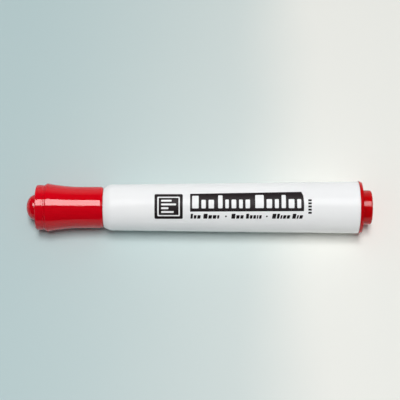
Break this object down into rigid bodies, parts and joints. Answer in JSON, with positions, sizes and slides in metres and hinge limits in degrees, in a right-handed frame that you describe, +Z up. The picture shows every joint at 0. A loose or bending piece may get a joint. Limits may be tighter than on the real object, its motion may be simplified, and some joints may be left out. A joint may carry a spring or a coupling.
{
  "type": "felt tip marker",
  "caption": "Capped chisel tip dry-erase marker: tapered barrel, flared pull-off cap with a nub, flanged tail plug with a post that the cap fits on.",
  "frame": {"origin": "centre of the footprint, at the table's height: the marker lies on its side", "axes": "+X along the marker, from the cap to the tail; +Z up; the marker's axis runs through (0, 0, 0.0092)"},
  "size_m": [0.12, 0.0184, 0.0184],
  "materials": {
    "barrel_white": "glossy moulded polypropylene, white",
    "print_ink": "satin black printing on the barrel",
    "holder_white": "satin moulded polypropylene, white",
    "nib_felt": "pressed polyester felt, soaked with red ink",
    "ink_fibre": "bonded fibre, soaked with red ink",
    "wrap_film": "thin clear film",
    "tube_clear": "extruded tube",
    "plug_red": "glossy moulded polypropylene, red",
    "cap_red": "glossy moulded polypropylene, red",
    "crown_red": "glossy moulded polypropylene, red",
    "seal_natural": "natural polyethylene"
  },
  "bodies": {
    "marker": {"barrel": "barrel_white", "nib_holder": "holder_white", "nib": "nib_felt", "reservoir_core": "ink_fibre", "reservoir_film": "wrap_film", "breather_tube": "tube_clear", "end_plug": "plug_red"},
    "cap": {"cap_shell": "cap_red", "cap_crown": "crown_red", "cap_seal": "seal_natural"}
  },
  "joints": [
    {"name": "cap_slide", "type": "slide", "parent": "marker", "child": "cap", "axis": [-1, 0, 0], "range_m": [0, 0.045]}
  ]
}
